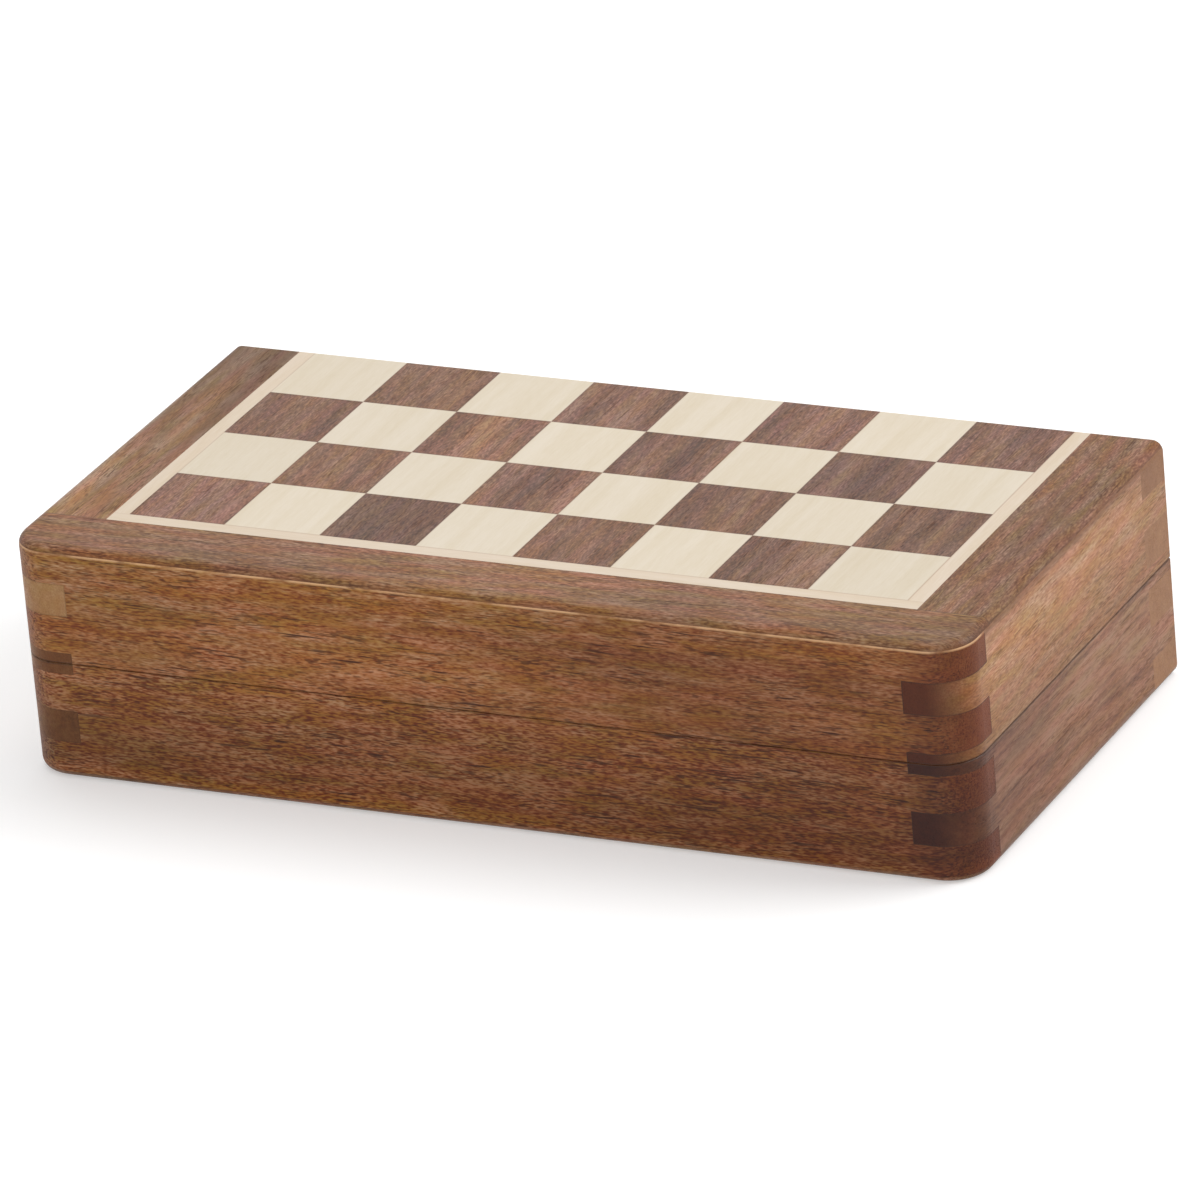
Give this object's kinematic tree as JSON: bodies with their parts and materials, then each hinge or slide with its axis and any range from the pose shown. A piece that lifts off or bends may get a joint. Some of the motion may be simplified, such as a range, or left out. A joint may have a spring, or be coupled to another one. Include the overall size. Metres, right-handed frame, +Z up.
{
  "type": "folding chess box",
  "caption": "Folding wooden chess box: two finger-jointed halves hinged along the back, a half chessboard on each outer face and felted slots for the chessmen inside.",
  "frame": {"origin": "on the table, below the middle of the closed box measured over its hinge barrels", "axes": "+X along the eight columns to the right, +Y from the front to the hinges, +Z up"},
  "size_m": [0.178, 0.0908, 0.0436],
  "materials": {
    "rosewood_walls": "solid rosewood boards, satin lacquer",
    "rosewood_border": "rosewood strip, satin lacquer",
    "rosewood_squares": "rosewood veneer squares, satin lacquer",
    "maple_squares": "pale maple veneer squares, satin lacquer",
    "maple_strips": "pale maple stringing, satin lacquer",
    "plywood_core": "birch plywood, sealed inside",
    "steel_sheet": "plain steel sheet, sealed inside",
    "green_felt": "short wool-like felt on card and wood",
    "nickel_magnets": "nickel-plated discs",
    "brass_hinges": "stamped and rolled brass",
    "brass_screws": "brass-plated countersunk wood screws"
  },
  "bodies": {
    "base": {"base_front_wall": "rosewood_walls", "base_back_wall": "rosewood_walls", "base_left_wall": "rosewood_walls", "base_right_wall": "rosewood_walls", "base_core_panel": "plywood_core", "base_steel_sheet": "steel_sheet", "base_dark_squares": "rosewood_squares", "base_light_squares": "maple_squares", "base_front_maple_strip": "maple_strips", "base_left_maple_strip": "maple_strips", "base_right_maple_strip": "maple_strips", "base_front_border": "rosewood_border", "base_left_border": "rosewood_border", "base_right_border": "rosewood_border", "base_felt_lining": "green_felt", "base_long_rail": "green_felt", "base_officer_ribs": "green_felt", "base_pawn_ribs": "green_felt", "base_closure_magnets": "nickel_magnets", "base_hinge_screws": "brass_screws", "left_hinge_base_leaf": "brass_hinges", "left_hinge_pin": "brass_hinges", "right_hinge_base_leaf": "brass_hinges", "right_hinge_pin": "brass_hinges"},
    "lid": {"lid_front_wall": "rosewood_walls", "lid_back_wall": "rosewood_walls", "lid_left_wall": "rosewood_walls", "lid_right_wall": "rosewood_walls", "lid_core_panel": "plywood_core", "lid_steel_sheet": "steel_sheet", "lid_dark_squares": "rosewood_squares", "lid_light_squares": "maple_squares", "lid_front_maple_strip": "maple_strips", "lid_left_maple_strip": "maple_strips", "lid_right_maple_strip": "maple_strips", "lid_front_border": "rosewood_border", "lid_left_border": "rosewood_border", "lid_right_border": "rosewood_border", "lid_felt_lining": "green_felt", "lid_long_rail": "green_felt", "lid_officer_ribs": "green_felt", "lid_pawn_ribs": "green_felt", "lid_closure_magnets": "nickel_magnets", "lid_hinge_screws": "brass_screws", "left_hinge_lid_leaf": "brass_hinges", "right_hinge_lid_leaf": "brass_hinges"}
  },
  "joints": [
    {"name": "lid_hinge", "type": "hinge", "parent": "base", "child": "lid", "pos_m": [0, 0.0438, 0.0218], "axis": [-1, 0, 0], "range_deg": [0, 180]}
  ]
}
